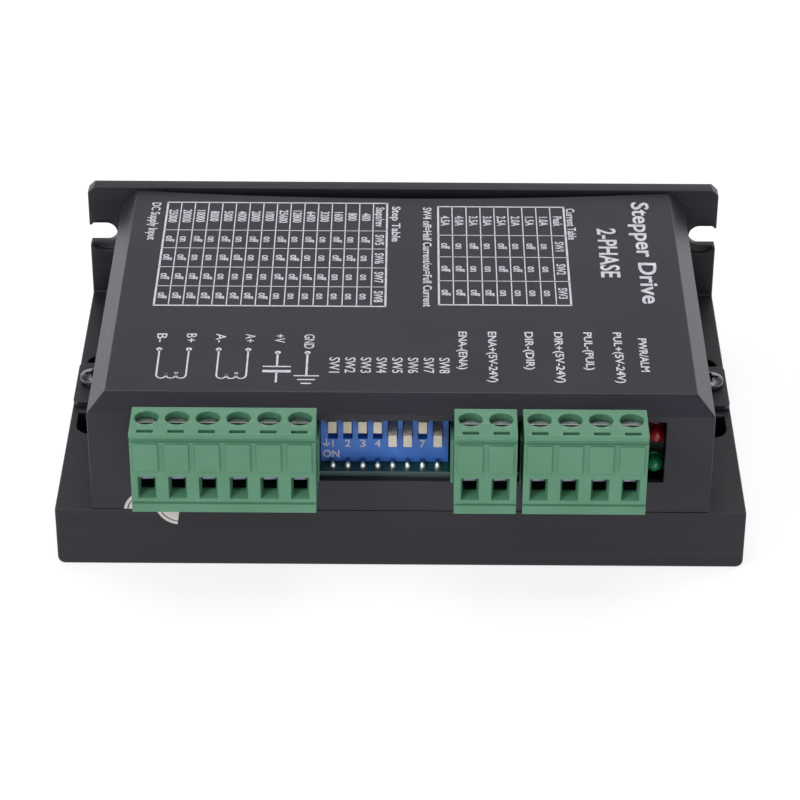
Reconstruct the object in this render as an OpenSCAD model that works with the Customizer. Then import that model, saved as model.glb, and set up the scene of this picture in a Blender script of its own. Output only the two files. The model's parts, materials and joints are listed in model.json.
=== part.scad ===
// Stepper driver module: an L-shaped heatsink under a folded sheet cover, with three pluggable
// terminal blocks, an eight-way slide switch and two status lamps along the front.
// Frame: origin at the centre of the heatsink's underside, +Z up, connectors facing -Y.

/* [Heatsink] */
// Width of the heatsink along X
base_w = 118; // [116:0.5:124]
// Depth of the heatsink along Y
base_d = 75.5; // [75:0.5:80]
// Thickness of the base plate
base_t = 11.3; // [10.5:0.1:11.6]
// Overall height, to the top of the rear wall
total_h = 34; // [33.6:0.1:36]
// Thickness of the rear wall
wall_t = 2.7; // [2.4:0.1:2.9]
// Radius along the lower side edges
base_edge_r = 1.3; // [0.5:0.1:2]
// Distance between the two mounting notches in the rear wall
notch_pitch = 112; // [111:0.5:113]
// Width of a mounting notch
notch_w = 4.1; // [3.6:0.1:4.4]
// Height of the notches' centre line
notch_z = 23.7; // [22:0.1:25]
// Length of a side slot in the base plate
side_slot_len = 26.5; // [22:0.5:30]
// Width of a side slot in the base plate
side_slot_w = 5.6; // [4.5:0.1:5.8]

/* [Cover] */
// Width of the cover
cover_w = 105.2; // [104:0.1:106]
// Height of the cover's top face
cover_top = 33.4; // [33.2:0.1:33.6]
// Thickness of the folded sheet
sheet_t = 1.2; // [1:0.1:1.3]
// Horizontal run of the bevel round the top
bevel_run = 2.95; // [2:0.05:3.5]
// Drop of the bevel round the top
bevel_drop = 2.75; // [1.5:0.05:3]
// Deepest point of the bowed rear edge, measured forward from its ends
rear_bow = 2.6; // [1:0.1:3]
// Length of a fixing ear along Y
ear_len = 13.2; // [12:0.1:14]

/* [Board] */
// Height of the circuit board's upper face
board_top = 18.25; // [18:0.05:18.4]
// Thickness of the circuit board
board_t = 1.6; // [1.2:0.1:1.6]

/* [Terminals] */
// Distance between poles
pitch = 5.08; // [5:0.01:5.1]
// Pole count of each connector: motor and supply, enable, signal
poles = [6, 2, 4];
// Centre of each connector along X
plug_x = [-29.33, 14.07, 30.56];
// Height of a plug
plug_h = 15.65; // [15.5:0.05:15.7]
// Depth of a plug's block, in front of its header
plug_d = 8.3; // [8:0.1:8.6]
// Height of a header
header_h = 8.57; // [8.4:0.01:8.7]
// Depth of a header
header_d = 12; // [11.5:0.1:12.5]
// Rise of a clamp cage from open to closed
cage_rise = 2.5; // [2:0.1:2.5]

/* [Switch] */
// Centre of the slide switch along X
dip_x = -2.65; // [-2.7:0.05:-2.6]
// Width of the slide switch
dip_w = 21.7; // [21:0.1:21.7]
// Height of the slide switch
dip_h = 10.4; // [10.2:0.1:10.6]
// Which sliders stand up (off), counted from the left
slider_up = [true, true, true, true, false, false, true, false];
// Travel of a slider
slider_travel = 2.7; // [2.4:0.1:2.7]

/* [Lamps] */
// Centre of the two lamps along X
lamp_x = 43.15; // [43.1:0.05:43.2]
// Heights of the two lamps, red then green
lamp_z = [25.2, 19.3];
// Radius of a lamp's lens
lamp_r = 1.45; // [1.3:0.05:1.5]

/* [Hidden] */
$fn = 48;
eps = 0.01;
front_y = -base_d / 2;
rear_y = base_d / 2;
wall_y = rear_y - wall_t;
cover_front = front_y + 0.15;
cover_rear = wall_y - 0.05;
bevel_z = cover_top - bevel_drop;
window_x = [-45.3, 44.5];
window_z = [17.4, 29.5];
ear_reach = base_w / 2 - cover_w / 2 - 0.1;
ear_y = 0.9;
ear_screw_x = 55.65;
ear_screw_y = 1.2;
side_slot_x = 54.9;
side_slot_y = -1;
side_slot_depth = 7;
land_y = [-7.3, 6.6];
board_x = 49.4;
board_y = [front_y + 1.8, 30];
board_bottom = board_top - board_t;
post_xy = [[-45.5, -20], [45.5, -20], [-45.5, 26], [45.5, 26]];
post_r = 2.9;
screw_bore_r = 1.5;
shank_r = 1.45;
pocket_x = 41;
pocket_y = [-33, 5];
pocket_floor = 4;
fet_count = 8;
fet_pitch = 10.6;
fet_y = 20;
fet_w = 9.9;
header_front = front_y - 1.5;
header_side = [[0.5, 0.35], [0.6, 0.35], [0.35, 0.35]];
cavity_gap = 0.1;
cavity_z = [board_top + 1, board_top + 7.7];
cavity_back = header_front + 10.2;
pin_z = board_top + 4.3;
pin_w = 1;
pin_drop_y = header_front + header_d + 0.6;
pin_hole_r = 0.85;
plug_back = header_front - 0.1;
plug_front = plug_back - plug_d;
plug_bottom = board_top - 0.7;
plug_end = 0.1;
plug_top = plug_bottom + plug_h;
tongue_end = cavity_back - 2.2;
clamp_y = plug_back - 3.25;
cage_w = 3.9;
cage_d = 4.4;
cage_z = plug_bottom + 1.05;
cage_floor_t = 0.9;
cage_roof_t = 2;
cage_wall = 0.5;
cage_gap = 0.1;
bar_t = 0.8;
bar_z = plug_bottom + 4.95;
cage_h = bar_z + bar_t + 0.05 + cage_roof_t - cage_z;
ledge_z = cage_z + cage_h + cage_rise + 0.1;
head_z = plug_top - 2.5;
head_h = 1.35;
head_r = 1.93;
bore_r = 2.03;
clamp_shank_r = 1.3;
entry_w = 2.3;
mouth_w = 3;
entry_z = [plug_bottom + 2.45, plug_bottom + 6.95];
blade_reach = 1.07;
bar_half = 1.1;
dip_pitch = 2.54;
dip_body_x = dip_x - 0.12;
dip_front = front_y + 4.7;
dip_d = 6;
dip_pin_y = [dip_front - 1.4, dip_front + dip_d + 0.6];
dip_pin_w = 0.5;
knob_w = 1.43;
knob_h = 2.3;
knob_reach = 2.7;
knob_low_z = board_top + 4.85;
slot_w = 1.6;
slot_depth = 2.2;
lamp_front = front_y + 1.9;
lamp_back = lamp_front + 3.35;
flange_r = 1.6;
flange_t = 1;
tail_r = 0.75;
tail_len = 2.1;

// Clamp screw i of connector c stands on this X.
function pole_x(c, i) = plug_x[c] + (i - (poles[c] + 1) / 2) * pitch;
function slider_x(i) = dip_x + (i - 4.5) * dip_pitch;

CONNECTORS = ["motor", "enable", "signal"];

// A box from one corner to the opposite one.
module span(x, y, z) {
    translate([x[0], y[0], z[0]]) cube([x[1] - x[0], y[1] - y[0], z[1] - z[0]]);
}

// An outline drawn in X and Z, swept from one Y to another.
module along_y(y0, y1) {
    translate([0, y1, 0]) rotate([90, 0, 0]) linear_extrude(y1 - y0) children();
}

// An outline drawn in Y and Z, swept from one X to another.
module along_x(x0, x1) {
    translate([x0, 0, 0]) rotate([90, 0, 90]) linear_extrude(x1 - x0) children();
}

module rod(x, y, z, r) {
    translate([x, y, z[0]]) cylinder(r = r, h = z[1] - z[0]);
}

// Pan head with a cross recess, standing on z.
module cross_head(x, y, z, r, h) {
    translate([x, y, z]) difference() {
        intersection() {
            cylinder(r = r, h = h);
            translate([0, 0, h - 2.1 * r]) sphere(r = 2.1 * r, $fn = 64);
        }
        for (a = [0, 90]) rotate(a) translate([-r * 0.6, -r * 0.15, h - 1.1]) cube([r * 1.2, r * 0.3, 2]);
    }
}

// ---- heatsink ----

module base_outline() {
    half = base_w / 2;
    polygon([[-half, base_edge_r], [-half, base_t], [half, base_t], [half, base_edge_r],
             [half - base_edge_r, 0], [base_edge_r - half, 0]]);
    for (s = [-1, 1]) translate([s * (half - base_edge_r), base_edge_r]) circle(r = base_edge_r);
}

module wall_outline() {
    half = base_w / 2;
    corner = 1.2;
    polygon([[-half, base_t - 1], [half, base_t - 1], [half, total_h - corner], [half - corner, total_h],
             [corner - half, total_h], [-half, total_h - corner]]);
}

// Open-ended notch with a shallow round seat for the mounting screw's head.
module wall_notch() {
    x = notch_pitch / 2;
    translate([x, rear_y + 1, notch_z]) rotate([90, 0, 0]) cylinder(r = notch_w / 2, h = wall_t + 2);
    span([x, base_w / 2 + 1], [wall_y - 1, rear_y + 1], [notch_z - notch_w / 2, notch_z + notch_w / 2]);
    translate([x, wall_y + 0.9, notch_z]) rotate([90, 0, 0]) cylinder(r = 3.35, h = 2);
}

// A slot with round ends, left solid in the middle where the cover's ear is screwed down.
module side_slot() {
    reach = side_slot_len / 2 - side_slot_w / 2;
    difference() {
        union() {
            for (s = [-1, 1])
                rod(side_slot_x, side_slot_y + s * reach, [base_t - side_slot_depth, base_t + 1],
                    side_slot_w / 2);
            span([side_slot_x - side_slot_w / 2, side_slot_x + side_slot_w / 2],
                 [side_slot_y - reach, side_slot_y + reach], [base_t - side_slot_depth, base_t + 1]);
        }
        span([side_slot_x - 5, side_slot_x + 5], land_y, [base_t - side_slot_depth - 1, base_t + 2]);
    }
}

module heatsink() {
    color("#2b2a2e") difference() {
        union() {
            along_y(front_y, rear_y) base_outline();
            along_y(wall_y, rear_y) wall_outline();
        }
        for (m = [0, 1]) mirror([m, 0, 0]) {
            wall_notch();
            side_slot();
            rod(ear_screw_x, ear_screw_y, [base_t - 6, base_t + 1], screw_bore_r);
        }
        span([-pocket_x, pocket_x], pocket_y, [pocket_floor, base_t + 1]);
        for (p = post_xy) rod(p[0], p[1], [base_t - 6, base_t + 1], screw_bore_r);
        for (i = [1:fet_count]) rod(fet_x(i), fet_y + 10.6, [base_t - 6, base_t + 1], screw_bore_r);
    }
}

// ---- power stage, clamped to the base under the board ----

function fet_x(i) = (i - (fet_count + 1) / 2) * fet_pitch;

module thermal_pad() {
    color("#b9bcc0") difference() {
        span([-42.3, 42.3], [pocket_y[1] + 3, 33.5], [base_t, base_t + 0.3]);
        for (i = [1:fet_count]) rod(fet_x(i), fet_y + 10.6, [base_t - 1, base_t + 1], 1.7);
    }
}

// Moulded body, mounting tab and three bent leads that rise into the board.
module power_transistor(x) {
    z = base_t + 0.3;
    color("#26262a") span([x - fet_w / 2, x + fet_w / 2], [fet_y - 2.2, fet_y + 6.8], [z, z + 4]);
    color("#a9a9ad") difference() {
        span([x - fet_w / 2, x + fet_w / 2], [fet_y + 6.8, fet_y + 13], [z, z + 1.3]);
        rod(x, fet_y + 10.6, [z - 1, z + 2], 1.7);
    }
    color("#c4c4c8") for (k = [-1:1]) {
        span([x + k * 2.54 - 0.35, x + k * 2.54 + 0.35], [fet_y - 5.2, fet_y - 2.2], [z + 2, z + 2.5]);
        span([x + k * 2.54 - 0.35, x + k * 2.54 + 0.35], [fet_y - 5.2, fet_y - 4.7],
             [z + 2.5, board_bottom + 0.8]);
    }
}

module power_transistors() {
    for (i = [1:fet_count]) power_transistor(fet_x(i));
}

module transistor_screws() {
    z = base_t + 1.6;
    color("#9a9a9e") for (i = [1:fet_count]) {
        cross_head(fet_x(i), fet_y + 10.6, z, 2.6, 1.8);
        rod(fet_x(i), fet_y + 10.6, [z - 5, z + 0.1], shank_r);
    }
}

// ---- circuit board and what is soldered to it ----

module board_posts() {
    color("#c9a24a") for (p = post_xy) difference() {
        rod(p[0], p[1], [base_t, board_bottom], post_r);
        rod(p[0], p[1], [base_t - 1, board_bottom + 1], 1.6);
    }
}

module board_screws() {
    color("#b4b4b8") for (p = post_xy) {
        cross_head(p[0], p[1], board_top, 2.7, 1.9);
        rod(p[0], p[1], [base_t - 5, board_top + 0.1], shank_r);
    }
}

module circuit_board() {
    color("#0d3a20") difference() {
        span([-board_x, board_x], board_y, [board_bottom, board_top]);
        // room for the lower lamp's flange
        span([lamp_x - 1.9, lamp_x + 1.9], [board_y[0] - 1, lamp_back], [board_bottom - 1, board_top + 1]);
        for (p = post_xy) rod(p[0], p[1], [board_bottom - 1, board_top + 1], 1.6);
        for (c = [0:2]) for (i = [1:poles[c]])
            rod(pole_x(c, i), pin_drop_y, [board_bottom - 1, board_top + 1], pin_hole_r);
        for (i = [1:8]) for (y = dip_pin_y)
            rod(slider_x(i), y, [board_bottom - 1, board_top + 1], 0.45);
        for (i = [1:fet_count]) for (k = [-1:1])
            rod(fet_x(i) + k * 2.54, fet_y - 4.95, [board_bottom - 1, board_top + 1], 0.6);
    }
}

// Two electrolytic cans lying on the board.
module bulk_capacitors() {
    for (x = [-26, 4]) {
        translate([x, 10, board_top + 6.4]) rotate([0, 90, 0]) {
            color("#2a3f78") cylinder(r = 6.3, h = 19);
            color("#c8c8cc") translate([0, 0, 19]) cylinder(r = 5.4, h = 0.5);
            color("#26262a") translate([0, 0, -1]) cylinder(r = 5.6, h = 1);
        }
        color("#c4c4c8") for (s = [-1, 1])
            span([x - 3, x - 1], [10 + s * 2.5 - 0.3, 10 + s * 2.5 + 0.3], [board_top, board_top + 4]);
    }
}

module logic_chips() {
    for (p = [[-36, -14, 9, 9], [-20, -14, 12, 8], [28, -12, 10, 10], [40, 4, 6, 8]]) {
        color("#202024") span([p[0] - p[2] / 2, p[0] + p[2] / 2], [p[1] - p[3] / 2, p[1] + p[3] / 2],
                              [board_top + 0.1, board_top + 1.7]);
        color("#c4c4c8") for (s = [-1, 1]) for (k = [-3:3])
            span([p[0] + k * p[2] / 8 - 0.2, p[0] + k * p[2] / 8 + 0.2],
                 [p[1] + s * (p[3] / 2 + 0.4) - 0.5, p[1] + s * (p[3] / 2 + 0.4) + 0.5],
                 [board_top, board_top + 0.7]);
    }
}

module sense_resistors() {
    color("#3a3a3e") for (x = [-36, -28, 28, 36])
        span([x - 3.2, x + 3.2], [22.4, 25.6], [board_top, board_top + 0.8]);
}

// ---- connectors ----

module header(c) {
    half = poles[c] * pitch / 2;
    x = plug_x[c];
    outer = [x - half - header_side[c][0], x + half + header_side[c][1]];
    color("#4f8f69") difference() {
        span(outer, [header_front, header_front + header_d], [board_top, board_top + header_h]);
        span([x - half - cavity_gap, x + half + cavity_gap], [header_front - 1, cavity_back], cavity_z);
        for (i = [1:poles[c]]) {
            px = pole_x(c, i);
            span([px - pin_w / 2, px + pin_w / 2], [cavity_back - 1, header_front + header_d + 1],
                 [pin_z - pin_w / 2, pin_z + pin_w / 2]);
        }
    }
}

// Bent square pins: through each header's back and down into the board.
module header_pins() {
    color("#c9c9cd") for (c = [0:2]) for (i = [1:poles[c]]) {
        px = [pole_x(c, i) - pin_w / 2, pole_x(c, i) + pin_w / 2];
        span(px, [header_front + 1.5, pin_drop_y + pin_w / 2], [pin_z - pin_w / 2, pin_z + pin_w / 2]);
        span(px, [pin_drop_y - pin_w / 2, pin_drop_y + pin_w / 2], [board_bottom - 1, pin_z]);
    }
}

// Side view of a plug's block: a lip over a groove along the top of its front, and a foot along the bottom.
module plug_profile() {
    f = plug_front;
    t = plug_top;
    b = plug_bottom;
    polygon([[plug_back, b], [plug_back, t], [f + 0.2, t], [f, t - 0.2], [f, t - 0.8], [f + 0.75, t - 1.2],
             [f + 0.75, t - 1.8], [f + 0.4, t - 1.9], [f + 0.4, b + 2], [f + 0.7, b + 1.9],
             [f + 0.7, b + 1.7], [f + 0.3, b + 1.55], [f + 0.25, b]]);
}

// A funnel for the wire: its sides and floor close in on the clamp.
module wire_entry(x) {
    mouth = plug_front - eps;
    throat = plug_front + 2;
    wide = mouth_w / 2;
    narrow = entry_w / 2;
    intersection() {
        translate([0, 0, entry_z[0] - 1]) linear_extrude(8)
            polygon([[x - wide, mouth], [x + wide, mouth], [x + wide, plug_front + 0.5], [x + narrow, throat],
                     [x + narrow, clamp_y], [x - narrow, clamp_y], [x - narrow, throat],
                     [x - wide, plug_front + 0.5]]);
        along_x(x - 3, x + 3)
            polygon([[mouth, entry_z[0]], [mouth, entry_z[1]], [clamp_y, entry_z[1]],
                     [clamp_y, entry_z[0] + 0.9], [throat, entry_z[0] + 0.9]]);
    }
}

// Room for one clamp: screw bore, cage chamber and the contact's channel.
module clamp_chamber(x) {
    rod(x, clamp_y, [head_z - 0.1, plug_top + 1], bore_r);
    rod(x, clamp_y, [ledge_z - 1, head_z], clamp_shank_r + 0.25);
    span([x - cage_w / 2 - cage_gap, x + cage_w / 2 + cage_gap],
         [clamp_y - cage_d / 2 - cage_gap, clamp_y + cage_d / 2 + cage_gap], [cage_z - cage_gap, ledge_z]);
    span([x - bar_half, x + bar_half], [clamp_y + cage_d / 2, tongue_end + 1],
         [pin_z - blade_reach, pin_z + blade_reach]);
}

module plug(c) {
    half = poles[c] * pitch / 2;
    x0 = plug_x[c];
    color("#5f9275") difference() {
        union() {
            along_x(x0 - half - plug_end, x0 + half + plug_end) plug_profile();
            span([x0 - half, x0 + half], [plug_back - 0.5, tongue_end], [cavity_z[0] + 0.2, cavity_z[1] - 0.2]);
            for (i = [1:poles[c]])
                span([pole_x(c, i) - 2, pole_x(c, i) + 2], [plug_front + 0.1, plug_front + 1],
                     [plug_bottom + 8.2, plug_top - 2.05]);
        }
        for (i = [1:poles[c]]) {
            x = pole_x(c, i);
            clamp_chamber(x);
            wire_entry(x);
            span([x - 1.35, x + 1.35], [plug_front + 0.55, plug_front + 1.45], [plug_top - 0.85, plug_top + 1]);
        }
        // shallow coding grooves along the underside
        for (i = [1:poles[c]])
            span([pole_x(c, i) - 0.4, pole_x(c, i) + 0.4], [plug_back - 6, plug_back + 1],
                 [plug_bottom - 1, plug_bottom + 0.4]);
    }
}

// One contact: a bar through the cage, and two blades that grip the header's pin.
module contact(x) {
    bar_front = clamp_y - cage_d / 2 - cage_gap;
    link_y = clamp_y + cage_d / 2 + 0.25;
    blade_t = 0.5;
    blade_z = blade_reach - blade_t;
    span([x - bar_half, x + bar_half], [bar_front, link_y + 0.1], [bar_z, bar_z + bar_t]);
    span([x - bar_half, x + bar_half], [link_y, link_y + 0.5], [pin_z - blade_reach, pin_z + blade_reach]);
    span([x - 1, x + 1], [link_y, tongue_end - 0.6], [pin_z - blade_reach, pin_z - blade_z]);
    span([x - 1, x + 1], [link_y, tongue_end - 0.6], [pin_z + blade_z, pin_z + blade_reach]);
}

module contacts(c) {
    color("#b8bac0") for (i = [1:poles[c]]) contact(pole_x(c, i));
}

// Rising cage: the screw's thread runs in its roof and lifts it towards the contact bar.
module clamp_cage(c, i) {
    x = pole_x(c, i);
    color("#aeb0b8") difference() {
        span([x - cage_w / 2, x + cage_w / 2], [clamp_y - cage_d / 2, clamp_y + cage_d / 2],
             [cage_z, cage_z + cage_h]);
        span([x - cage_w / 2 + cage_wall, x + cage_w / 2 - cage_wall], [clamp_y - cage_d, clamp_y + cage_d],
             [cage_z + cage_floor_t, cage_z + cage_h - cage_roof_t]);
        rod(x, clamp_y, [cage_z + cage_h - cage_roof_t - 1, cage_z + cage_h + 1], clamp_shank_r + 0.05);
    }
}

module clamp_screw(c, i) {
    x = pole_x(c, i);
    color("#a9abae") difference() {
        union() {
            rod(x, clamp_y, [head_z, head_z + head_h], head_r);
            rod(x, clamp_y, [bar_z + bar_t + 0.3, head_z + eps], clamp_shank_r);
        }
        span([x - 2.5, x + 2.5], [clamp_y - 0.3, clamp_y + 0.3], [head_z + head_h - 0.8, head_z + head_h + 1]);
    }
}

// ---- slide switch ----

module switch_body() {
    color("#3566b8") difference() {
        span([dip_body_x - dip_w / 2, dip_body_x + dip_w / 2], [dip_front, dip_front + dip_d],
             [board_top + 0.05, board_top + dip_h]);
        for (i = [1:8]) {
            x = slider_x(i);
            span([x - slot_w / 2, x + slot_w / 2], [dip_front - 1, dip_front + slot_depth],
                 [knob_low_z - 0.15, knob_low_z + knob_h + slider_travel + 0.15]);
        }
        for (i = [1:8]) for (s = [0, 1])
            span([slider_x(i) - dip_pin_w / 2, slider_x(i) + dip_pin_w / 2],
                 [dip_front - 1 + s * (dip_d - 0.5), dip_front + 1.5 + s * (dip_d - 0.5)],
                 [board_top - 1, board_top + 0.75]);
    }
}

module switch_pins() {
    color("#d6d6da") for (i = [1:8]) for (s = [0, 1]) {
        x = [slider_x(i) - dip_pin_w / 2, slider_x(i) + dip_pin_w / 2];
        y = dip_pin_y[s];
        inner = s == 0 ? dip_front + 1.5 : dip_front + dip_d - 1.5;
        span(x, [min(y, inner) - (s == 0 ? 0.25 : 0), max(y, inner) + (s == 0 ? 0 : 0.25)],
             [board_top + 0.3, board_top + 0.75]);
        span(x, [y - 0.25, y + 0.25], [board_bottom - 0.8, board_top + 0.5]);
    }
}

module switch_slider(i) {
    x = slider_x(i);
    z = knob_low_z + (slider_up[i - 1] ? slider_travel : 0);
    color("#b5ad9f")
        span([x - knob_w / 2, x + knob_w / 2], [dip_front - knob_reach, dip_front + slot_depth - 0.2],
             [z, z + knob_h]);
}

// ---- lamps ----

// Domed lens, a flange behind it and a tail that plugs into the holder.
module lamp(z) {
    back = lamp_back - lamp_front;
    translate([lamp_x, lamp_front, z]) rotate([-90, 0, 0]) {
        translate([0, 0, lamp_r]) cylinder(r = lamp_r, h = back - lamp_r - 0.1);
        intersection() {
            translate([0, 0, lamp_r]) sphere(r = lamp_r);
            cylinder(r = lamp_r + 1, h = lamp_r + 0.1);
        }
        translate([0, 0, back - flange_t]) cylinder(r = flange_r, h = flange_t);
        translate([0, 0, back - 0.1]) cylinder(r = tail_r, h = tail_len + 0.1);
    }
}

module red_lamp() { color("#8c1414") lamp(lamp_z[0]); }
module green_lamp() { color("#137a3c") lamp(lamp_z[1]); }

module lamp_holder() {
    color("#1b1b1e") difference() {
        span([lamp_x - 1.65, lamp_x + 1.65], [lamp_back + 0.05, lamp_back + 5.5],
             [board_top, lamp_z[0] + 2.2]);
        for (z = lamp_z) translate([lamp_x, lamp_back - 1, z]) rotate([-90, 0, 0])
            cylinder(r = tail_r + 0.05, h = tail_len + 1.1);
    }
}

// ---- cover ----

// Box with a bevelled top, shrunk inwards by t on every face that has sheet on it.
module cover_block(t) {
    slant = sqrt(bevel_run * bevel_run + bevel_drop * bevel_drop);
    half = cover_w / 2 - t;
    top = cover_top - t;
    knee = bevel_z - t * (slant - bevel_drop) / bevel_run;
    inset = bevel_run + t * (slant - bevel_run) / bevel_drop - t;
    y0 = cover_front + t;
    intersection() {
        along_y(cover_front + t, cover_rear + (t > 0 ? 1 : 0))
            polygon([[-half, base_t - (t > 0 ? 1 : 0)], [half, base_t - (t > 0 ? 1 : 0)], [half, knee],
                     [half - inset, top], [inset - half, top], [-half, knee]]);
        along_x(-half, half)
            polygon([[y0, base_t - 2], [cover_rear + 2, base_t - 2], [cover_rear + 2, top],
                     [y0 + inset, top], [y0, knee]]);
    }
}

// Ear folded out from a side wall onto the base plate.
module ear() {
    x0 = cover_w / 2 - 0.2;
    x1 = cover_w / 2 + ear_reach;
    y0 = ear_y - ear_len / 2;
    y1 = ear_y + ear_len / 2;
    corner = 0.8;
    difference() {
        translate([0, 0, base_t]) linear_extrude(sheet_t)
            polygon([[x0, y0], [x1 - corner, y0], [x1, y0 + corner], [x1, y1 - corner], [x1 - corner, y1],
                     [x0, y1]]);
        rod(ear_screw_x, ear_screw_y, [base_t - 1, base_t + 3], 1.65);
    }
}

module cover() {
    chord = cover_w / 2 - bevel_run;
    bow_r = (chord * chord + rear_bow * rear_bow) / (2 * rear_bow);
    color("#35343a") difference() {
        union() {
            difference() {
                cover_block(0);
                cover_block(sheet_t);
            }
            for (m = [0, 1]) mirror([m, 0, 0]) ear();
        }
        span(window_x, [cover_front - 1, cover_front + sheet_t + 0.4], window_z);
        intersection() {
            translate([0, cover_rear - rear_bow + bow_r, cover_top - 2])
                cylinder(r = bow_r, h = 3, $fn = 720);
            span([-chord, chord], [0, rear_y], [cover_top - 2, cover_top + 1]);
        }
    }
}

module cover_screws() {
    z = base_t + sheet_t;
    color("#8f9094") for (s = [-1, 1]) {
        cross_head(s * ear_screw_x, ear_screw_y, z, 2.5, 1.9);
        rod(s * ear_screw_x, ear_screw_y, [z - 6, z + 0.1], shank_r);
    }
}

heatsink();
thermal_pad();
power_transistors();
transistor_screws();
board_posts();
board_screws();
circuit_board();
header_pins();
switch_body();
switch_pins();
lamp_holder();
red_lamp();
green_lamp();
bulk_capacitors();
logic_chips();
sense_resistors();
cover();
cover_screws();
for (c = [0:2]) {
    header(c);
    plug(c);
    contacts(c);
    for (i = [1:poles[c]]) {
        clamp_screw(c, i);
        clamp_cage(c, i);
    }
}
for (i = [1:8]) {
    switch_slider(i);
}
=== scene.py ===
"""Looks of a stepper driver module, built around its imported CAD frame."""

import json
import math

import bmesh
import bpy
from mathutils import Matrix, Vector


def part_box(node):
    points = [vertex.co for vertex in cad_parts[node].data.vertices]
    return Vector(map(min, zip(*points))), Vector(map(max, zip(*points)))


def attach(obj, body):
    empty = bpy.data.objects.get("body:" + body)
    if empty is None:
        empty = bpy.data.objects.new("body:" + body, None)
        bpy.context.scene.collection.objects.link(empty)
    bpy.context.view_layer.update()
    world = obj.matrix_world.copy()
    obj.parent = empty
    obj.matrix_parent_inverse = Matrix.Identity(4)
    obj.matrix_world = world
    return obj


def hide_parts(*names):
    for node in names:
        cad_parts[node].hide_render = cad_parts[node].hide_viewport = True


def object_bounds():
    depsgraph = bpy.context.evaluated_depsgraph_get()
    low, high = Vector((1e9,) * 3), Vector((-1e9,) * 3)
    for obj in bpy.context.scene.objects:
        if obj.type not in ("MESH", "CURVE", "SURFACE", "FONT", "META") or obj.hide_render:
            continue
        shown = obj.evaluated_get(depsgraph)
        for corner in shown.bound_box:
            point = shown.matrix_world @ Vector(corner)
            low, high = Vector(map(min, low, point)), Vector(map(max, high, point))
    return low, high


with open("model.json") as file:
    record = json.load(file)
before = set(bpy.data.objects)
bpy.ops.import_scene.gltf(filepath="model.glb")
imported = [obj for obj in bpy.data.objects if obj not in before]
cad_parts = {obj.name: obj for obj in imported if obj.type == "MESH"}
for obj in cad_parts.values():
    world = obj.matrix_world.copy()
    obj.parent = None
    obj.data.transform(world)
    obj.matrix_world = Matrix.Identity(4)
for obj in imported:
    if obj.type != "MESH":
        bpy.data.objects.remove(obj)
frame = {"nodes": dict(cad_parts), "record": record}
cad_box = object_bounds()

MM = 0.001
NODES = frame["nodes"]
BODY_OF = {n: body for body, members in frame["record"]["behaviour"]["bodies"].items() for n in members}
SLOT_OF = {entry["node"]: entry["material_slot"] for entry in frame["record"]["subparts"]}

# Millimetres, in the CAD frame.
COVER_LOW, COVER_HIGH = (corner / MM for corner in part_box("cover"))
COVER_TOP = COVER_HIGH.z
POLE_PITCH = 5.08
SWITCHES = 8
SWITCH_PITCH = 2.54
SWITCH_LABEL_PITCH = 2.67
SWITCH_LABELS_X = -2.0
INK = 0.02

# Shares of the type's own height.
CAP_HEIGHT = 0.69
GLYPH_DEPTH = 0.02
LIGHT = 0.006
BOLD = 0.018


# ---- camera ----

# Millimetres, degrees, and the lens in millimetres for a 36 mm sensor.
CAMERA_PLACE = (1.3, -460.15, 304.9)
YAW_PITCH_ROLL = (-0.198, 32.69, -0.239)
LENS = 135.7


def place_camera():
    """The camera of a person leaning over the connectors, with a long lens."""
    data = bpy.data.cameras.new("camera")
    data.sensor_width = 36
    data.lens = LENS
    data.clip_start = 0.01
    camera = bpy.data.objects.new("camera", data)
    bpy.context.scene.collection.objects.link(camera)
    yaw, pitch, roll = (math.radians(a) for a in YAW_PITCH_ROLL)
    turn = Matrix.Rotation(-yaw, 4, "Z") @ Matrix.Rotation(math.pi / 2 - pitch, 4, "X")
    turn = turn @ Matrix.Rotation(-roll, 4, "Z")
    camera.matrix_world = Matrix.Translation(Vector(CAMERA_PLACE) * MM) @ turn
    bpy.context.scene.camera = camera


# ---- shader helpers ----

def add(tree, kind, settings=None, **inputs):
    """Adds a shader node. An input's value is a constant or another node's output."""
    made = tree.nodes.new("ShaderNode" + kind)
    for key, value in (settings or {}).items():
        setattr(made, key, value)
    for key, value in inputs.items():
        socket = made.inputs[key.replace("_", " ")]
        if isinstance(value, bpy.types.NodeSocket):
            tree.links.new(value, socket)
        else:
            socket.default_value = value
    return made


def noise(tree, scale, stretch=(1, 1, 1), detail=3.0, roughness=0.5):
    """Noise in the object's own metres; scale counts features per metre."""
    place = add(tree, "TexCoord").outputs["Object"]
    mapping = add(tree, "Mapping", Vector=place, Scale=stretch)
    return add(tree, "TexNoise", Vector=mapping.outputs[0], Scale=scale, Detail=detail,
               Roughness=roughness).outputs["Fac"]


def remap(tree, value, low, high, start=0.3, end=0.7):
    """Maps a value from start..end to low..high."""
    node = add(tree, "MapRange", Value=value, From_Min=start, From_Max=end, To_Min=low, To_Max=high)
    return node.outputs[0]


def mixed(tree, factor, first, second):
    """Blends two colours by a factor."""
    node = tree.nodes.new("ShaderNodeMix")
    node.data_type = "RGBA"
    for socket, value in ((node.inputs[0], factor), (node.inputs[6], first), (node.inputs[7], second)):
        if isinstance(value, bpy.types.NodeSocket):
            tree.links.new(value, socket)
        else:
            socket.default_value = value
    return node.outputs[2]


def bumped(tree, shader, height, distance):
    """Gives a shader a bump of that many metres."""
    bump = add(tree, "Bump", Height=height, Distance=distance, Strength=1.0)
    tree.links.new(bump.outputs[0], shader.inputs["Normal"])


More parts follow.
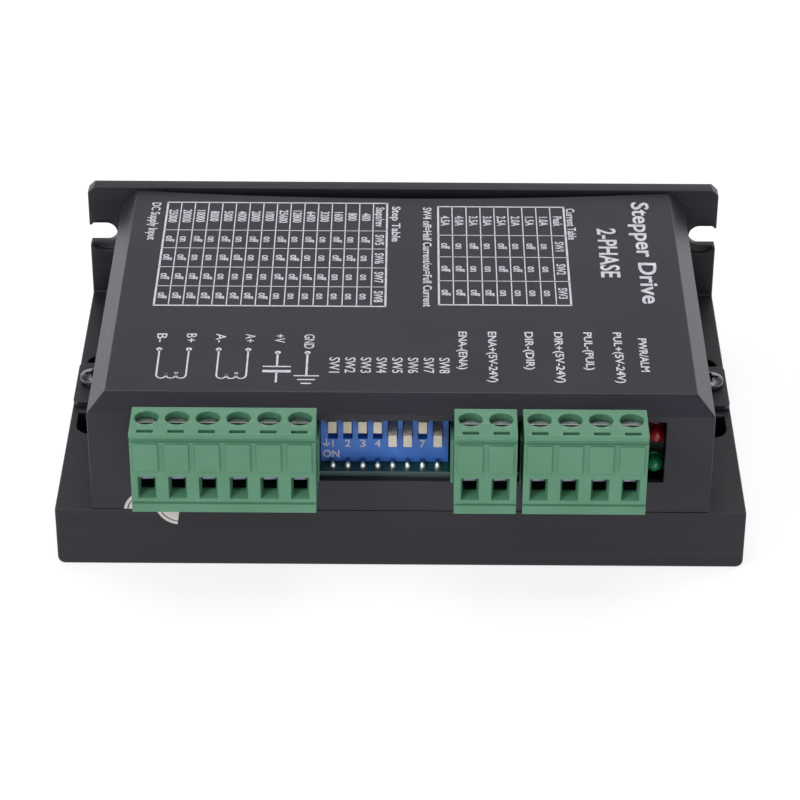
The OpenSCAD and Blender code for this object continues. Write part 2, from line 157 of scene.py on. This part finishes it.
def edge_mask(tree, radius):
    """1 along the edges and 0 on the flats, from how far a rounded normal leans from the true one.

    The radius of the rounding is in metres.
    """
    rounded = add(tree, "Bevel", Radius=radius).outputs[0]
    true = add(tree, "NewGeometry").outputs["Normal"]
    dot = tree.nodes.new("ShaderNodeVectorMath")
    dot.operation = "DOT_PRODUCT"
    tree.links.new(rounded, dot.inputs[0])
    tree.links.new(true, dot.inputs[1])
    return remap(tree, dot.outputs["Value"], 1.0, 0.0, 0.86, 0.995)


def rgba(colour):
    """A colour with full cover."""
    return (*colour, 1.0)


def new_material(name, metallic=0.0, ior=1.5, **constants):
    """A material whose unvarying values sit on the shader's own sockets."""
    material = bpy.data.materials.new(name)
    material.use_nodes = True
    tree = material.node_tree
    shader = tree.nodes["Principled BSDF"]
    shader.inputs["Metallic"].default_value = metallic
    shader.inputs["IOR"].default_value = ior
    for key, value in constants.items():
        shader.inputs[key.replace("_", " ")].default_value = value
    return material, tree, shader


def varied(tree, shader, dark, light, rough_low, rough_high, scale):
    """Slow colour and gloss variation between two tones."""
    blotch = noise(tree, scale, detail=4.0)
    tree.links.new(mixed(tree, remap(tree, blotch, 0, 1), rgba(dark), rgba(light)),
                   shader.inputs["Base Color"])
    tree.links.new(remap(tree, noise(tree, scale * 2.3), rough_low, rough_high),
                   shader.inputs["Roughness"])


# ---- materials ----

def anodised_metal():
    """Black anodised extrusion: faint draw lines along X, a little wear on the edges."""
    material, tree, shader = new_material("anodised_black", Specular_IOR_Level=0.3)
    dark, light, bare = (0.009, 0.0084, 0.0125), (0.014, 0.0132, 0.019), (0.075, 0.073, 0.082)
    lines = noise(tree, 900, stretch=(0.012, 1, 1), detail=5.0)
    grain = noise(tree, 5200, detail=2.0)
    body = mixed(tree, remap(tree, lines, 0, 1), rgba(dark), rgba(light))
    worn = mixed(tree, remap(tree, edge_mask(tree, 0.0004), 0, 0.5, 0, 1), body, rgba(bare))
    tree.links.new(worn, shader.inputs["Base Color"])
    tree.links.new(remap(tree, grain, 0.36, 0.5), shader.inputs["Roughness"])
    bumped(tree, shader, lines, 0.000012)
    return material


def painted_metal():
    """Black powder coat with a fine, low texture."""
    material, tree, shader = new_material("painted_black", Specular_IOR_Level=0.28)
    dark, light, rubbed = (0.0135, 0.0127, 0.019), (0.019, 0.018, 0.026), (0.06, 0.058, 0.066)
    peel = noise(tree, 2600, detail=3.0, roughness=0.6)
    body = mixed(tree, remap(tree, noise(tree, 60), 0, 1), rgba(dark), rgba(light))
    worn = mixed(tree, remap(tree, edge_mask(tree, 0.0003), 0, 0.4, 0, 1), body, rgba(rubbed))
    tree.links.new(worn, shader.inputs["Base Color"])
    tree.links.new(remap(tree, peel, 0.3, 0.44), shader.inputs["Roughness"])
    bumped(tree, shader, peel, 0.00001)
    return material


def moulded_plastic(name, dark, light, rough):
    """Injection-moulded plastic with a spark-eroded texture."""
    material, tree, shader = new_material(name)
    varied(tree, shader, dark, light, rough[0], rough[1], 160)
    bumped(tree, shader, noise(tree, 4200, detail=2.0), 0.000006)
    return material


def plated_metal(name, dark, light, rough):
    """Plated or turned metal with fine tool marks."""
    material, tree, shader = new_material(name, metallic=1.0)
    marks = noise(tree, 2600, detail=4.0)
    tree.links.new(mixed(tree, remap(tree, marks, 0, 1), rgba(dark), rgba(light)),
                   shader.inputs["Base Color"])
    tree.links.new(remap(tree, noise(tree, 900), rough[0], rough[1]), shader.inputs["Roughness"])
    bumped(tree, shader, marks, 0.000004)
    return material


def board_laminate():
    """Green solder mask over woven glass, with pale cut edges."""
    material, tree, shader = new_material("board_green", ior=1.55, Coat_Weight=0.4,
                                          Coat_Roughness=0.12)
    dark, light, cut_edge = (0.004, 0.036, 0.013), (0.01, 0.062, 0.024), (0.07, 0.1, 0.1)
    place = add(tree, "TexCoord").outputs["Object"]
    weave = []
    for axis in ("X", "Y"):
        wave = add(tree, "TexWave", {"bands_direction": axis}, Vector=place, Scale=420, Distortion=0.6)
        weave.append(wave.outputs["Fac"])
    crossed = add(tree, "Math", {"operation": "MULTIPLY"})
    tree.links.new(weave[0], crossed.inputs[0])
    tree.links.new(weave[1], crossed.inputs[1])
    mask = mixed(tree, crossed.outputs[0], rgba(dark), rgba(light))
    facing = add(tree, "SeparateXYZ", Vector=add(tree, "NewGeometry").outputs["Normal"]).outputs["Z"]
    level = add(tree, "Math", {"operation": "ABSOLUTE"})
    tree.links.new(facing, level.inputs[0])
    flat = remap(tree, level.outputs[0], 0, 1, 0.2, 0.8)
    tree.links.new(mixed(tree, flat, rgba(cut_edge), mask), shader.inputs["Base Color"])
    tree.links.new(remap(tree, noise(tree, 500), 0.3, 0.42), shader.inputs["Roughness"])
    bumped(tree, shader, crossed.outputs[0], 0.000008)
    return material


def lamp_lens(name, dark, light):
    """Tinted epoxy lens, unlit."""
    material, tree, shader = new_material(name, ior=1.53, Transmission_Weight=0.35, Coat_Weight=0.15,
                                          Coat_Roughness=0.2)
    varied(tree, shader, dark, light, 0.1, 0.2, 500)
    bumped(tree, shader, noise(tree, 1500), 0.000004)
    return material


def printed_ink():
    """Screen-printed ink: pale, slightly uneven."""
    material, tree, shader = new_material("print_ink", ior=1.45)
    varied(tree, shader, (0.4, 0.39, 0.44), (0.56, 0.55, 0.6), 0.45, 0.6, 900)
    bumped(tree, shader, noise(tree, 4000), 0.000004)
    return material


# Dark tone, light tone and range of roughness.
PLASTICS = {
    "thermal_pad": ((0.42, 0.44, 0.46), (0.52, 0.54, 0.56), (0.7, 0.85)),
    "black_epoxy": ((0.012, 0.012, 0.014), (0.02, 0.02, 0.023), (0.45, 0.6)),
    "terminal_green": ((0.058, 0.178, 0.1), (0.071, 0.201, 0.117), (0.38, 0.5)),
    "switch_blue": ((0.03, 0.128, 0.48), (0.042, 0.16, 0.56), (0.36, 0.48)),
    "slider_cream": ((0.44, 0.39, 0.31), (0.56, 0.51, 0.42), (0.3, 0.42)),
    "black_plastic": ((0.01, 0.01, 0.012), (0.016, 0.016, 0.018), (0.4, 0.55)),
    "capacitor_sleeve": ((0.02, 0.035, 0.15), (0.03, 0.05, 0.2), (0.25, 0.35)),
    "seal_foil": ((0.34, 0.32, 0.3), (0.5, 0.48, 0.46), (0.3, 0.45)),
}
METALS = {
    # Painted shade and painted reflection: these zinc tones are darker than bare zinc and tinted green,
    # for the shade and the green plastic mirrored in the screws' bores.
    "zinc_steel": ((0.2, 0.23, 0.21), (0.29, 0.32, 0.3), (0.34, 0.48)),
    "black_zinc_steel": ((0.06, 0.06, 0.07), (0.13, 0.13, 0.145), (0.24, 0.38)),
    "brass_post": ((0.55, 0.4, 0.16), (0.68, 0.5, 0.22), (0.2, 0.36)),
    "tinned_metal": ((0.2, 0.21, 0.28), (0.28, 0.29, 0.37), (0.34, 0.46)),
    # Painted shade: the cage steel is near black with a navy tint, for the darkness deep inside the wire
    # entries.
    "clamp_steel": ((0.07, 0.07, 0.085), (0.12, 0.12, 0.14), (0.35, 0.5)),
    "solder": ((0.8, 0.8, 0.8), (0.95, 0.95, 0.95), (0.38, 0.5)),
}
LENSES = {
    "lamp_red": ((0.34, 0.006, 0.008), (0.46, 0.012, 0.012)),
    "lamp_green": ((0.008, 0.24, 0.08), (0.014, 0.34, 0.12)),
}


def make_materials():
    """Every material by the name of its slot."""
    materials = {
        "anodised_black": anodised_metal(),
        "painted_black": painted_metal(),
        "board_green": board_laminate(),
        "print_ink": printed_ink(),
    }
    for maker, table in ((moulded_plastic, PLASTICS), (plated_metal, METALS), (lamp_lens, LENSES)):
        for name, tones in table.items():
            materials[name] = maker(name, *tones)
    return materials


# ---- mesh helpers ----

# Vertices closer than this, in metres, are joined.
WELD = 1e-6
PRINT_WELD = 2e-7
# Edges sharper than this, in degrees, are rounded.
SHARP_ANGLE = 32


def centre_x(node):
    """The middle of a CAD node in X, in millimetres."""
    low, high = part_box(node)
    return (low.x + high.x) / 2 / MM


def new_piece(name, mesh, material, body):
    """Links a mesh as a piece that rides on a body."""
    piece = bpy.data.objects.new(name, mesh)
    bpy.context.scene.collection.objects.link(piece)
    mesh.materials.clear()
    mesh.materials.append(material)
    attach(piece, body)
    return piece


def finished(bm, name):
    """Turns a bmesh into a mesh with outward faces."""
    bmesh.ops.recalc_face_normals(bm, faces=bm.faces)
    mesh = bpy.data.meshes.new(name)
    bm.to_mesh(mesh)
    bm.free()
    return mesh


def refine(node, edge):
    """Replaces a CAD node by its own shape with edges rounded to a width in millimetres."""
    bm = bmesh.new()
    bm.from_mesh(NODES[node].data)
    bmesh.ops.remove_doubles(bm, verts=bm.verts, dist=WELD)
    mesh = finished(bm, node + "_shape")
    mesh.shade_smooth()
    slot = SLOT_OF[node]
    piece = new_piece(node + "_detail", mesh, MATERIALS[slot], BODY_OF[node])
    bevel = piece.modifiers.new("rounded edges", "BEVEL")
    bevel.width = edge * MM
    bevel.segments = 2
    bevel.limit_method = "ANGLE"
    bevel.angle_limit = math.radians(SHARP_ANGLE)
    bevel.use_clamp_overlap = False
    bevel.loop_slide = False
    bevel.miter_outer = "MITER_ARC"
    weighted = piece.modifiers.new("flat faces stay flat", "WEIGHTED_NORMAL")
    weighted.mode = "FACE_AREA"
    weighted.weight = 80
    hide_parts(node)


# ---- print ----

GLYPHS = {}
# Millimetres: capitals' heights and widths of lines.
FINE_PRINT = 1.7
TITLE_PRINT = 3
HEAVY_LINE, FINE_LINE = 0.36, 0.2


def text_mesh(text, weight):
    """A word as a flat-topped solid of unit height, its strokes thickened by weight."""
    key = (text, weight)
    if key not in GLYPHS:
        curve = bpy.data.curves.new("word", "FONT")
        curve.body = text
        curve.resolution_u = 3
        curve.extrude = GLYPH_DEPTH
        curve.offset = weight
        holder = bpy.data.objects.new("word", curve)
        GLYPHS[key] = bpy.data.meshes.new_from_object(holder)
        bpy.data.objects.remove(holder)
        bpy.data.curves.remove(curve)
    return GLYPHS[key]


def write(bm, text, place, size, width=None, turn=-90):
    """Adds a word with the middle of its capitals at place, lying on the surface there.

    size is the capitals' height, and width squeezes or stretches the word to a given length.
    The smallest and the largest words have the boldest strokes.
    """
    mesh = text_mesh(text, BOLD if size < FINE_PRINT or size > TITLE_PRINT else LIGHT)
    xs = [v.co.x for v in mesh.vertices]
    length = max(xs) - min(xs)
    tall = size / CAP_HEIGHT
    wide = width / length if width else tall * 0.86
    origin = Vector((min(xs) + length / 2, CAP_HEIGHT / 2, 0))
    scale = Matrix.Diagonal((wide, tall, INK / (2 * GLYPH_DEPTH), 1))
    spin = Matrix.Rotation(math.radians(turn), 4, "Z")
    matrix = Matrix.Scale(MM, 4) @ (place @ spin @ scale @ Matrix.Translation(-origin))
    start = len(bm.verts)
    bm.from_mesh(mesh)
    bm.verts.ensure_lookup_table()
    bmesh.ops.transform(bm, matrix=matrix, verts=bm.verts[start:])


def on_top(x, y):
    """A place on the cover's top face."""
    return Matrix.Translation((x, y, COVER_TOP + INK / 2))


def ribbon(bm, points, width, z):
    """Adds a printed line of even width through points on a level surface."""
    flat = [Vector((p[0], p[1])) for p in points]
    count = len(flat)
    left, right = [], []
    for i, point in enumerate(flat):
        before = flat[i - 1] if i else point
        after = flat[i + 1] if i < count - 1 else point
        along_in = (point - before).normalized() if point != before else (after - point).normalized()
        along_out = (after - point).normalized() if after != point else along_in
        normal = Vector((-along_in.y - along_out.y, along_in.x + along_out.x)).normalized()
        stretch = max(normal.dot(Vector((-along_in.y, along_in.x))), 0.4)
        offset = normal * (width / 2 / stretch)
        left.append(point + offset)
        right.append(point - offset)
    rails = [[bm.verts.new(Vector((p.x, p.y, h)) * MM) for p in side]
             for side in (left, right) for h in (z, z + INK)]
    low_left, high_left, low_right, high_right = rails
    for i in range(count - 1):
        j = i + 1
        bm.faces.new((high_left[i], high_left[j], high_right[j], high_right[i]))
        bm.faces.new((low_left[j], low_left[i], low_right[i], low_right[j]))
        bm.faces.new((low_left[i], low_left[j], high_left[j], high_left[i]))
        bm.faces.new((high_right[i], high_right[j], low_right[j], low_right[i]))
    bm.faces.new((low_left[0], high_left[0], high_right[0], low_right[0]))
    bm.faces.new((low_right[-1], high_right[-1], high_left[-1], low_left[-1]))


def disc(bm, x, y, radius, z):
    """Adds a printed dot."""
    sides = 20
    turns = [math.tau * k / sides for k in range(sides)]
    rings = []
    for h in (z, z + INK):
        places = [Vector((x + radius * math.cos(a), y + radius * math.sin(a), h)) for a in turns]
        rings.append([bm.verts.new(place * MM) for place in places])
    bm.faces.new(rings[1])
    bm.faces.new(rings[0][::-1])
    for k in range(sides):
        j = (k + 1) % sides
        bm.faces.new((rings[0][k], rings[0][j], rings[1][j], rings[1][k]))


def print_piece(name, bm):
    """Makes a printed piece; the words' faces are joined along their edges first."""
    bmesh.ops.remove_doubles(bm, verts=bm.verts, dist=PRINT_WELD)
    new_piece(name, finished(bm, name), MATERIALS["print_ink"], "frame")


def print_table(name, left, right, columns, row_edges, cells):
    """A ruled table: columns are even in X, rows lie between the given Y lines, and words run along -Y."""
    bm = bmesh.new()
    z = COVER_TOP
    step = (right - left) / columns
    back, front = row_edges[0], row_edges[-1]
    for i in range(columns + 1):
        x = left + i * step
        ribbon(bm, [(x, back), (x, front)], HEAVY_LINE if i in (0, columns) else FINE_LINE, z)
    for y in row_edges:
        ends = [(left - HEAVY_LINE / 2, y), (right + HEAVY_LINE / 2, y)]
        ribbon(bm, ends, HEAVY_LINE if y in (back, front) else FINE_LINE, z)
    for i, row in enumerate(cells):
        x = right - (i + 0.5) * step
        for k, word in enumerate(row):
            y = (row_edges[k] + row_edges[k + 1]) / 2
            write(bm, word, on_top(x, y), 1.55)
    print_piece(name, bm)


def switch_words(number, count):
    """The off/on words that select setting number, first switch changing fastest."""
    return ["on" if number >> bit & 1 else "off" for bit in range(count)]


def print_step_table():
    """Steps per turn for the last four switches."""
    steps = [400 * 2 ** k for k in range(7)]
    steps += [1000, 2000, 4000, 5000, 8000, 10000, 20000, 25000]
    cells = [["Steps/rev", "SW5", "SW6", "SW7", "SW8"]]
    for i, count in enumerate(steps):
        cells.append([str(count)] + switch_words(len(steps) - 1 - i, 4))
    print_table("print_step_table", -43.5, -2.9, 16, [30.4, 20.0, 13.4, 6.6, -0.1, -6.8], cells)


def print_current_table():
    """Round current values for the first three switches."""
    cells = [["Peak", "SW1", "SW2", "SW3"]]
    for i in range(8):
        cells.append([f"{1 + 0.5 * i:.1f}A"] + switch_words(7 - i, 3))
    print_table("print_current_table", 6.5, 29.7, 9, [29.3, 18.6, 10.7, 2.2, -6.1], cells)


def print_captions():
    """The words round the tables, each squeezed into its length along Y."""
    bm = bmesh.new()
    for text, x, back, front, size in (
        ("Step Table", -1.2, 29.2, 16.1, 1.5),
        ("Current Table", 30.9, 28.8, 17.2, 1.5),
        ("SW4 off=Half Current/on=Full Current", 4.5, 28.9, -6.8, 1.5),
        ("DC Supply Input", -45.6, 30.2, 16.3, 1.6),
        ("Stepper Drive", 43.9, 31.3, -5.3, 3.1),
        ("2-PHASE", 37.2, 21.4, 3.7, 3.3),
    ):
        write(bm, text, on_top(x, (back + front) / 2), size, width=back - front)
    print_piece("print_captions", bm)


def print_switch_labels():
    """The eight switches' names, a little wider apart than the switches."""
    bm = bmesh.new()
    for i in range(SWITCHES):
        x = SWITCH_LABELS_X + (i - (SWITCHES - 1) / 2) * SWITCH_LABEL_PITCH
        write(bm, f"SW{i + 1}", on_top(x, -26.2), 1.75, width=4.9)
    print_piece("print_switch_labels", bm)


def poles_of(plug, count):
    """The X of every pole of a plug."""
    middle = centre_x(plug)
    return [middle + (k - (count - 1) / 2) * POLE_PITCH for k in range(count)]


def print_signal_labels():
    """Pin names behind the enable and signal plugs, and the lamps' name."""
    bm = bmesh.new()
    poles = poles_of("enable_plug", 2) + poles_of("signal_plug", 4)
    words = ["ENA-(ENA)", "ENA+(5V-24V)", "DIR-(DIR)", "DIR+(5V-24V)", "PUL-(PUL)", "PUL+(5V-24V)"]
    for x, word in zip(poles, words):
        length = 1.36 * len(word)
        write(bm, word, on_top(x - 1.0, -15.1 - length / 2), 1.4, width=length)
    write(bm, "PWR/ALM", on_top(41.4, -22.4), 1.4, width=10.8)
    print_piece("print_signal_labels", bm)


def arc(centre, front, radius, tall, start, stop):
    """Points along the lower part of an upright ellipse, in degrees from its left end."""
    steps = 12
    angles = [math.radians(start + (stop - start) * k / steps) for k in range(steps + 1)]
    return [(centre - radius * math.cos(a), front + tall - tall * math.sin(a)) for a in angles]


def print_coil(bm, x0, x1, back, front, z, width):
    """A line down from one pole, three loops and a line up to the other; the second cusp is the taller."""
    radius = (x1 - x0) / 6
    tall = 1.3 * radius
    first = arc(x0 + radius, front, radius, tall, 0, 200)
    middle = arc(x0 + 3 * radius, front, radius, tall, -20, 225)
    last = arc(x0 + 5 * radius, front, radius, tall, -45, 180)
    ribbon(bm, [(x0, back)] + first, width, z)
    ribbon(bm, middle, width, z)
    ribbon(bm, last + [(x1, back)], width, z)


def print_power_labels():
    """Pin names behind the motor plug, with two coils, a supply cell and a ground mark."""
    bm = bmesh.new()
    z = COVER_TOP
    poles = poles_of("motor_plug", 6)
    for x, word in zip(poles, ["B-", "B+", "A-", "A+", "+V", "GND"]):
        length = 1.55 * len(word) if len(word) > 2 else 2.8
        write(bm, word, on_top(x + 0.8, -16.3 - length / 2), 1.72, width=length)
    dot_y = -21.4
    shift = 0.6
    for x in poles:
        disc(bm, x + shift, dot_y - (0.9 if x in poles[4:] else 0), 0.52, z)
    for a, b in ((0, 1), (2, 3)):
        print_coil(bm, poles[a] + 0.65, poles[b] + shift, dot_y, -30.7, z, 0.3)
    plus = poles[4] + shift
    plate_half = 2.4
    ribbon(bm, [(plus, dot_y - 1), (plus, -26.6)], HEAVY_LINE, z)
    ribbon(bm, [(plus - plate_half, -26.8), (plus + plate_half, -26.8)], HEAVY_LINE, z)
    ribbon(bm, [(plus - plate_half, -28.3), (plus + plate_half, -28.3)], 0.75, z)
    ribbon(bm, [(plus, -28.5), (plus, -31.8)], HEAVY_LINE, z)
    ground = poles[5] + shift
    ribbon(bm, [(ground, dot_y - 1), (ground, -29.6)], HEAVY_LINE, z)
    for k, half in enumerate((2.15, 1.5, 0.9)):
        y = -29.7 - 1.2 * k
        ribbon(bm, [(ground - half, y), (ground + half, y)], 0.34, z)
    print_piece("print_power_labels", bm)


def print_switch_face():
    """Numerals, the ON mark and its arrow on the switch's face."""
    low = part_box("switch_body")[0] / MM
    centre = (centre_x("switch_slider_1") + centre_x(f"switch_slider_{SWITCHES}")) / 2
    bm = bmesh.new()

    def on_face(x, z):
        lean = Matrix.Rotation(math.radians(90), 4, "X")
        return Matrix.Translation((x, low.y - INK / 2, z)) @ lean

    for i in range(SWITCHES):
        x = centre + (i - (SWITCHES - 1) / 2) * SWITCH_PITCH
        write(bm, str(i + 1), on_face(x, low.z + 3.75), 1.4, turn=0, width=0.95 if i else None)
    write(bm, "ON", on_face(centre - 9.2, low.z + 1.6), 1.4, turn=0, width=2.8)
    write(bm, "\u2193", on_face(centre - 10.0, low.z + 3.75), 1.5, turn=0)
    print_piece("print_switch_face", bm)


# ---- solder and seals ----

# Millimetres: outside and inside of the ring, and the disc.
SEAL_RADII = (4.3, 3.75, 3.55)


def add_solder_joints():
    """A bright mound of solder round every front pin of the switch."""
    pins_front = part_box("switch_pins")[0].y / MM
    board_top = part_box("circuit_board")[1].z / MM
    bm = bmesh.new()
    for i in range(SWITCHES):
        x = centre_x(f"switch_slider_{i + 1}")
        place = Vector((x, pins_front + 0.15, board_top + 0.1)) * MM
        shape = Matrix.Translation(place) @ Matrix.Diagonal((0.52 * MM, 0.5 * MM, 0.9 * MM, 1))
        bmesh.ops.create_uvsphere(bm, u_segments=20, v_segments=12, radius=1, matrix=shape)
    mesh = finished(bm, "solder_joints")
    mesh.shade_smooth()
    new_piece("solder_joints", mesh, MATERIALS["solder"], "frame")


def plate(bm, outline, face_y):
    """Adds a thin plate on a front face from its outline in X and Z."""
    rings = [[bm.verts.new(Vector((x, y, z)) * MM) for x, z in outline]
             for y in (face_y - 2 * INK, face_y)]
    bm.faces.new(rings[0])
    bm.faces.new(rings[1][::-1])
    for i in range(len(outline)):
        bm.faces.new((rings[0][i - 1], rings[0][i], rings[1][i], rings[1][i - 1]))


def rim(centre, radius, first, last):
    """Points along an arc between two angles."""
    steps = 48
    angles = [first + (last - first) * k / steps for k in range(steps + 1)]
    return [(centre[0] + radius * math.cos(a), centre[1] + radius * math.sin(a)) for a in angles]


def add_seal(name, centre, face_y, edge_z, tear=None):
    """Adds part of a round seal, a ring with a disc inside it.

    The part lies above edge_z or, with a tear angle, below it as far as the tear.
    """
    arcs = []
    for radius in SEAL_RADII:
        rise = math.asin((edge_z - centre[1]) / radius)
        ends = (math.pi - rise, tear) if tear else (rise, math.pi - rise)
        arcs.append(rim(centre, radius, *ends))
    outer, inner, middle = arcs
    if tear:
        middle.append((centre[0] + (edge_z - centre[1]) / math.tan(tear), edge_z))
    bm = bmesh.new()
    plate(bm, outer + inner[::-1], face_y)
    plate(bm, middle, face_y)
    new_piece(name, finished(bm, name), MATERIALS["seal_foil"], "frame")


def add_seals():
    """A torn round seal without print: one part on the cover, the other on the heatsink."""
    seam = COVER_LOW.z
    base_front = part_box("heatsink")[0].y / MM
    add_seal("seal_on_cover", (-42.9, 10.8), COVER_LOW.y, seam + 0.1)
    add_seal("seal_on_heatsink", (-37.5, 12.6), base_front, seam - 0.2, math.radians(262))


# ---- assembly ----

# The rounding, in millimetres, of a node without its own.
SMALL_EDGE = 0.06


def dress_nodes():
    """Every CAD node gets rounded edges and its material."""
    edges = {"heatsink": 0.22, "cover": 0.16, "circuit_board": 0.05}
    for node in NODES:
        refine(node, edges.get(node, SMALL_EDGE))


def light_the_world():
    """A bright horizon that darkens upwards."""
    world = bpy.data.worlds.new("studio")
    bpy.context.scene.world = world
    world.use_nodes = True
    tree = world.node_tree
    direction = add(tree, "TexCoord").outputs["Generated"]
    height = add(tree, "SeparateXYZ", Vector=direction).outputs["Z"]
    ramp = add(tree, "ValToRGB", Fac=remap(tree, height, 0, 1, 0.0, 1.0))
    stops = ramp.color_ramp.elements
    stops[0].position, stops[0].color = 0.0, (0.97, 0.96, 1.0, 1)
    stops[1].position, stops[1].color = 1.0, (0.085, 0.085, 0.09, 1)
    for position, level in ((0.14, 0.95), (0.4, 0.145)):
        middle = stops.new(position)
        middle.color = (level, level * 0.98, level, 1)
    background = tree.nodes["Background"]
    tree.links.new(ramp.outputs[0], background.inputs["Color"])
    background.inputs["Strength"].default_value = 2.45


def lay_floor():
    """A wide pale floor just under the heatsink."""
    half = 6.0
    corners = [(-half, -half, 0), (half, -half, 0), (half, half, 0), (-half, half, 0)]
    mesh = bpy.data.meshes.new("floor")
    mesh.from_pydata(corners, [], [(0, 1, 2, 3)])
    floor = bpy.data.objects.new("floor", mesh)
    floor.location.z = cad_box[0][2] - 0.0001
    bpy.context.scene.collection.objects.link(floor)
    material, tree, shader = new_material("floor_white", ior=1.3, Emission_Color=(1, 1, 1, 1),
                                          Emission_Strength=0.76)
    tone = mixed(tree, remap(tree, noise(tree, 3), 0, 1), rgba((0.24, 0.24, 0.24)),
                 rgba((0.27, 0.27, 0.27)))
    tree.links.new(tone, shader.inputs["Base Color"])
    shader.inputs["Roughness"].default_value = 0.8
    mesh.materials.append(material)


def build_stage():
    """Pale floor, a bright horizon, a key light from the left and a soft light overhead."""
    bpy.context.scene.view_settings.view_transform = "Standard"
    light_the_world()
    lay_floor()
    soft_light("key", (-0.95, -0.82, 1.12), (0, 0, 0.02), 0.45, 13)
    soft_light("overhead", (0.1, 0.35, 1.5), (0, 0, 0), 1.3, 17)


def soft_light(name, place, target, size, power):
    """An area light at a place, facing a target; lengths in metres and power in watts."""
    data = bpy.data.lights.new(name, "AREA")
    data.size = size
    data.energy = power
    light = bpy.data.objects.new(name, data)
    light.location = place
    light.rotation_euler = (Vector(target) - Vector(place)).to_track_quat("-Z", "Y").to_euler()
    bpy.context.scene.collection.objects.link(light)


place_camera()
MATERIALS = make_materials()
build_stage()
dress_nodes()
print_step_table()
print_current_table()
print_captions()
print_switch_labels()
print_signal_labels()
print_power_labels()
print_switch_face()
add_solder_joints()
add_seals()
